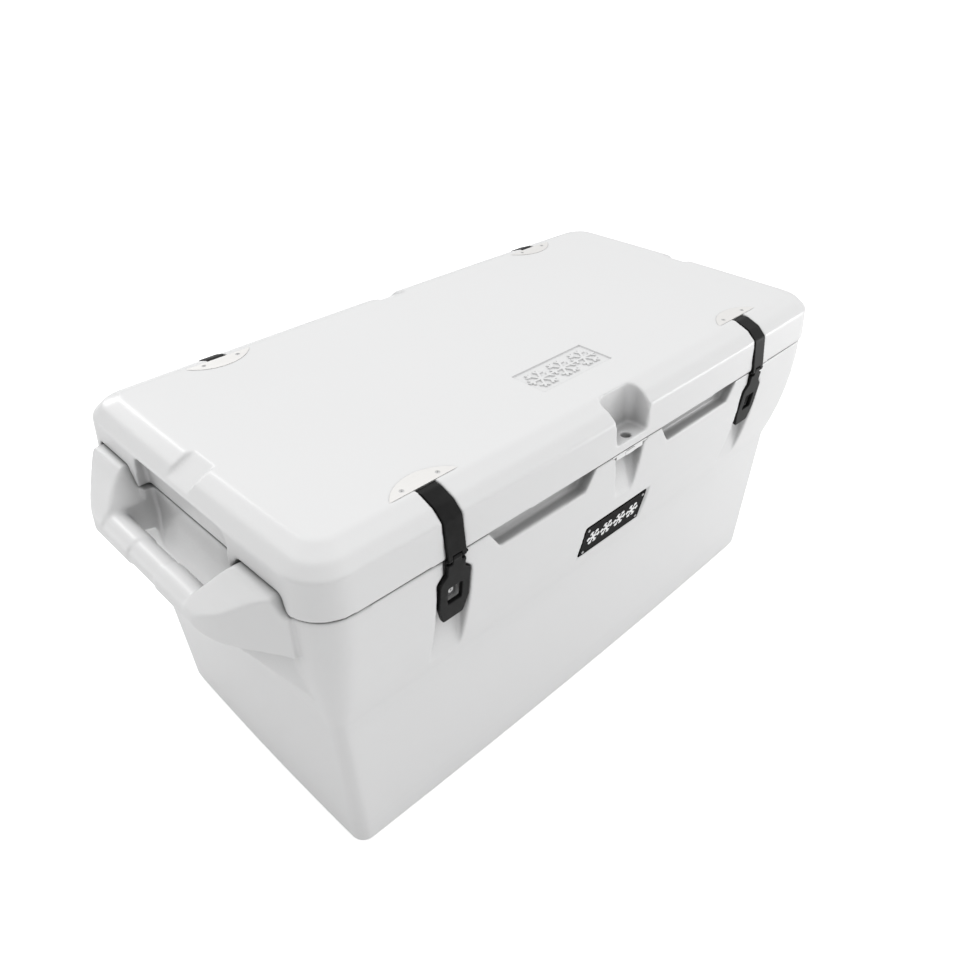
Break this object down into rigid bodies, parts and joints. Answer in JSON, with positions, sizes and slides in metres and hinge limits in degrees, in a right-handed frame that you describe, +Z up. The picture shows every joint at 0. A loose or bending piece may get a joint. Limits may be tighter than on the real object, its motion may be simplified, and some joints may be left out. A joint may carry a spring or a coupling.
{
  "type": "insulated cooler chest",
  "caption": "Large rotomoulded ice chest with a hinged insulated lid, moulded end handles, rubber strap latches and a padlock notch.",
  "frame": {"origin": "on the floor, under the middle of the chest, at the feet's underside", "axes": "+Z up, -Y out of the latched front, +X along the length towards the drain end"},
  "size_m": [1.114, 0.5282, 0.513],
  "materials": {
    "white_shell": "semi-gloss rotomoulded polyethylene, white",
    "foam": "rigid polyurethane foam, hidden between the skins",
    "seal_rubber": "soft black sealing rubber",
    "strap_rubber": "satin black moulded rubber",
    "pin_black": "black coated steel",
    "keeper_plastic": "dark grey moulded plastic",
    "strap_plate_metal": "brushed, warm light grey",
    "screw_steel": "stainless fasteners",
    "stainless_plate": "bright stainless sheet",
    "badge_black": "gloss black enamelled plate with a plain raised edge",
    "drain_plastic": "white moulded fitting",
    "foot_rubber": "black non-slip pads"
  },
  "bodies": {
    "chest": {"body_shell": "white_shell", "body_foam": "foam", "keeper_screws": "screw_steel", "lock_plate": "stainless_plate", "lock_plate_screws": "screw_steel", "badge_plate": "badge_black", "badge_rivets": "screw_steel", "drain_fitting": "drain_plastic", "foot_screws": "screw_steel", "latch_keeper_front_left": "keeper_plastic", "latch_keeper_front_right": "keeper_plastic", "latch_keeper_back_left": "keeper_plastic", "latch_keeper_back_right": "keeper_plastic", "foot_back_left": "foot_rubber", "foot_back_right": "foot_rubber", "foot_front_left": "foot_rubber", "foot_front_right": "foot_rubber"},
    "lid": {"lid_shell": "white_shell", "lid_foam": "foam", "lid_gasket": "seal_rubber", "plate_screws": "screw_steel", "strap_plate_front_left": "strap_plate_metal", "latch_strap_front_left": "strap_rubber", "latch_pin_front_left": "pin_black", "strap_plate_front_right": "strap_plate_metal", "latch_strap_front_right": "strap_rubber", "latch_pin_front_right": "pin_black", "strap_plate_back_left": "strap_plate_metal", "latch_strap_back_left": "strap_rubber", "latch_pin_back_left": "pin_black", "strap_plate_back_right": "strap_plate_metal", "latch_strap_back_right": "strap_rubber", "latch_pin_back_right": "pin_black"},
    "tongue_front_left": {"latch_tongue_front_left": "strap_rubber"},
    "tongue_front_right": {"latch_tongue_front_right": "strap_rubber"},
    "tongue_back_left": {"latch_tongue_back_left": "strap_rubber"},
    "tongue_back_right": {"latch_tongue_back_right": "strap_rubber"},
    "drain_seal": {"drain_washer": "seal_rubber"},
    "drain_cap": {"drain_plug": "drain_plastic"}
  },
  "joints": [
    {"name": "lid_hinge", "type": "hinge", "parent": "chest", "child": "lid", "pos_m": [0, 0.2608, 0.4405], "axis": [-1, 0, 0], "range_deg": [0, 100]},
    {"name": "front_left_latch", "type": "hinge", "parent": "lid", "child": "tongue_front_left", "pos_m": [-0.313, -0.2608, 0.4405], "axis": [-1, 0, 0], "range_deg": [0, 130]},
    {"name": "front_right_latch", "type": "hinge", "parent": "lid", "child": "tongue_front_right", "pos_m": [0.313, -0.2608, 0.4405], "axis": [-1, 0, 0], "range_deg": [0, 130]},
    {"name": "back_left_latch", "type": "hinge", "parent": "chest", "child": "tongue_back_left", "pos_m": [-0.313, 0.2608, 0.4405], "axis": [1, 0, 0], "range_deg": [0, 25]},
    {"name": "back_right_latch", "type": "hinge", "parent": "chest", "child": "tongue_back_right", "pos_m": [0.313, 0.2608, 0.4405], "axis": [1, 0, 0], "range_deg": [0, 25]},
    {"name": "drain_unscrew", "type": "slide", "parent": "chest", "child": "drain_seal", "axis": [1, 0, 0], "range_m": [0, 0.0121]},
    {"name": "drain_turn", "type": "hinge", "parent": "drain_seal", "child": "drain_cap", "pos_m": [0.46, 0, 0.066], "axis": [1, 0, 0], "range_deg": [0, 1080]}
  ],
  "couplings": [
    {"joint": "drain_unscrew", "follows": "drain_turn", "m_per_rad": 0.00063662}
  ]
}
